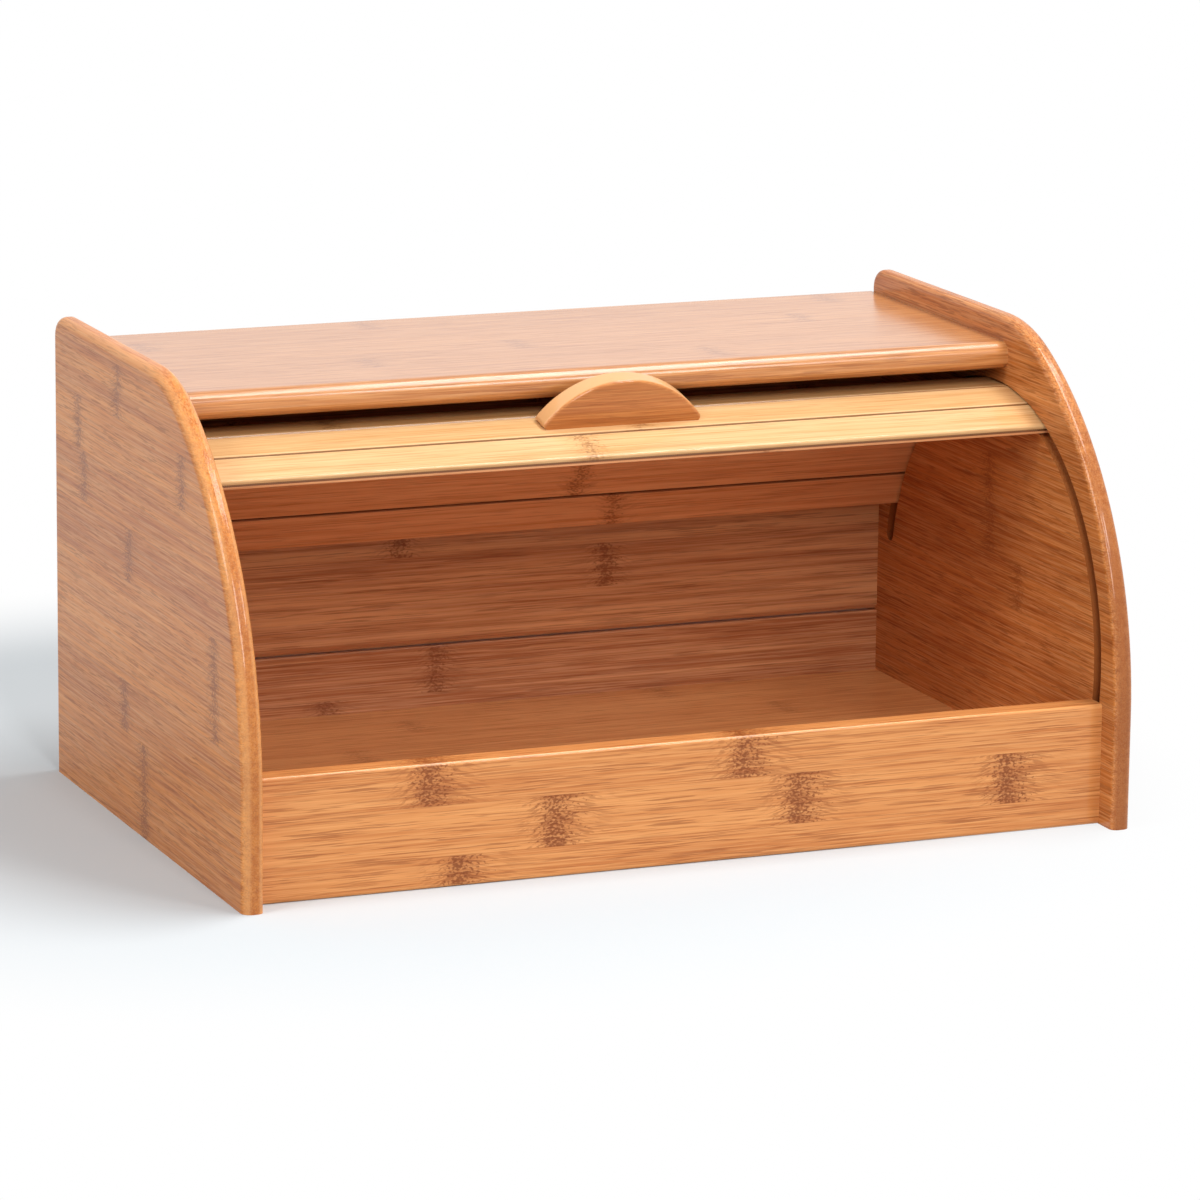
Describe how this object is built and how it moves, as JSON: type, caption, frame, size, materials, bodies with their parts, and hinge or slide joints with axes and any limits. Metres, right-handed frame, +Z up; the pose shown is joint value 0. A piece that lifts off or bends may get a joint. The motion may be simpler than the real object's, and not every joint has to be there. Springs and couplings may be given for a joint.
{
  "type": "roll-top lid box",
  "caption": "Bamboo box with shaped side panels, a fixed top, a low front rail and a slatted tambour lid that slides up in round grooves.",
  "frame": {"origin": "centre of the footprint, on the ground", "axes": "+X to the right side panel, +Y to the back, +Z up"},
  "size_m": [0.4, 0.2536, 0.2035],
  "materials": {
    "side_bamboo": "satin lacquered carbonised bamboo, grain from front to back",
    "board_bamboo": "satin lacquered carbonised bamboo, grain from side to side",
    "rail_bamboo": "satin lacquered carbonised bamboo, grain from side to side",
    "slat_bamboo": "glossy lacquered bamboo plies, grain from side to side",
    "handle_bamboo": "satin lacquered carbonised bamboo",
    "dowel_wood": "plain beech",
    "lid_cloth": "close woven cotton",
    "screw_steel": "bright steel"
  },
  "bodies": {
    "box": {"side_left": "side_bamboo", "side_right": "side_bamboo", "top_board": "board_bamboo", "front_rail": "rail_bamboo", "floor_board": "board_bamboo", "back_rail": "board_bamboo", "back_panel": "board_bamboo", "dowels": "dowel_wood"},
    "tambour": {"slat_1_outer": "slat_bamboo", "slat_2_outer": "slat_bamboo", "slat_3_outer": "slat_bamboo", "slat_4_outer": "slat_bamboo", "slat_5_outer": "slat_bamboo", "slat_6_outer": "slat_bamboo", "slat_7_outer": "slat_bamboo", "slat_8_outer": "slat_bamboo", "slat_9_outer": "slat_bamboo", "slat_1_inner": "slat_bamboo", "slat_2_inner": "slat_bamboo", "slat_3_inner": "slat_bamboo", "slat_4_inner": "slat_bamboo", "slat_5_inner": "slat_bamboo", "slat_6_inner": "slat_bamboo", "slat_7_inner": "slat_bamboo", "slat_8_inner": "slat_bamboo", "slat_9_inner": "slat_bamboo", "lid_cloth": "lid_cloth", "lid_handle": "handle_bamboo", "handle_screws": "screw_steel"}
  },
  "joints": [
    {"name": "tambour_slide", "type": "hinge", "parent": "box", "child": "tambour", "pos_m": [0, -0.003, 0.0652], "axis": [1, 0, 0], "range_deg": [-2.2, 70]}
  ]
}
